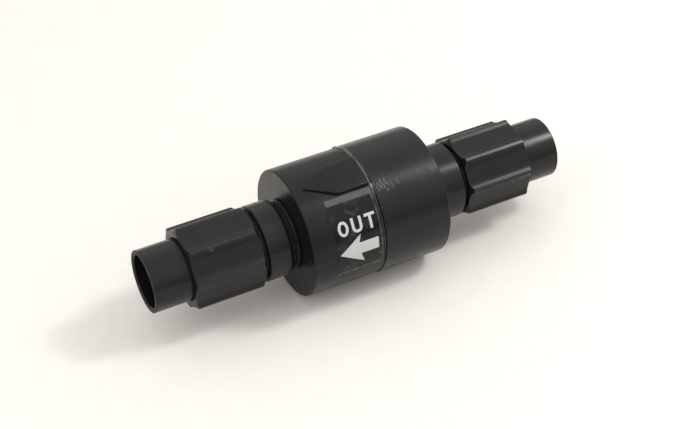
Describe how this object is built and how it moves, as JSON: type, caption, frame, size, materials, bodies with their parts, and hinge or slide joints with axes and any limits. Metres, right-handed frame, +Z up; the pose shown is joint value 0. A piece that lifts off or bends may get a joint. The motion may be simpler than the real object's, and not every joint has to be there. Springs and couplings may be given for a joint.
{
  "type": "check valve",
  "caption": "In-line spring check valve with a round two-part casing, a sliding spring-loaded poppet inside, and a ribbed union nut with a plain pipe-size tail at each end.",
  "frame": {"origin": "on the valve's axis, in the middle of its length, which is the centre of its bounding box", "axes": "+X along the axis towards the inlet, so the water flows towards -X; +Z up; the flow label faces -Y"},
  "size_m": [0.345, 0.1016, 0.105],
  "materials": {
    "casing_plastic": "satin-gloss moulded black plastic with fine scuffs",
    "connector_plastic": "satin-gloss moulded black plastic",
    "tail_plastic": "satin-gloss extruded black plastic",
    "nut_plastic": "satin moulded black plastic with brighter worn rib edges",
    "cement": "glossy set solvent cement",
    "label_film": "clear glossy adhesive film printed in white",
    "grey_plastic": "grey moulded PVC",
    "white_plastic": "natural white acetal",
    "rubber": "black nitrile rubber",
    "stainless_steel": "bright drawn and turned stainless steel"
  },
  "bodies": {
    "body": {"inlet_casing": "casing_plastic", "outlet_casing": "casing_plastic", "seam_bead": "cement", "inlet_connector": "connector_plastic", "outlet_connector": "connector_plastic", "inlet_union_oring": "rubber", "outlet_union_oring": "rubber", "seat_ring": "grey_plastic", "seat_oring": "rubber", "spacer_sleeve": "grey_plastic", "guide_spider": "grey_plastic", "guide_bush": "white_plastic", "flow_label": "label_film", "spring": "stainless_steel"},
    "poppet": {"poppet_stem": "stainless_steel", "poppet_disc": "white_plastic", "poppet_seal": "rubber", "seal_retainer": "white_plastic", "stem_nut": "stainless_steel", "stem_clip": "stainless_steel"},
    "inlet_tail": {"inlet_tailpiece": "tail_plastic"},
    "inlet_nut": {"inlet_union_nut": "nut_plastic"},
    "outlet_tail": {"outlet_tailpiece": "tail_plastic"},
    "outlet_nut": {"outlet_union_nut": "nut_plastic"}
  },
  "joints": [
    {"name": "poppet_lift", "type": "slide", "parent": "body", "child": "poppet", "axis": [-1, 0, 0], "range_m": [0, 0.012], "stiffness_N_per_m": 300, "springref_m": -0.015, "deforming": ["spring"]},
    {"name": "inlet_tail_slide", "type": "slide", "parent": "body", "child": "inlet_tail", "axis": [1, 0, 0], "range_m": [0, 0.0201]},
    {"name": "inlet_nut_turn", "type": "hinge", "parent": "inlet_tail", "child": "inlet_nut", "pos_m": [0.1157, 0, 0], "axis": [1, 0, 0], "range_deg": [0, 1800]},
    {"name": "outlet_tail_slide", "type": "slide", "parent": "body", "child": "outlet_tail", "axis": [-1, 0, 0], "range_m": [0, 0.0201]},
    {"name": "outlet_nut_turn", "type": "hinge", "parent": "outlet_tail", "child": "outlet_nut", "pos_m": [-0.1157, 0, 0], "axis": [-1, 0, 0], "range_deg": [0, 1800]}
  ],
  "couplings": [
    {"joint": "inlet_tail_slide", "follows": "inlet_nut_turn", "m_per_rad": 0.00063662},
    {"joint": "outlet_tail_slide", "follows": "outlet_nut_turn", "m_per_rad": 0.00063662}
  ]
}
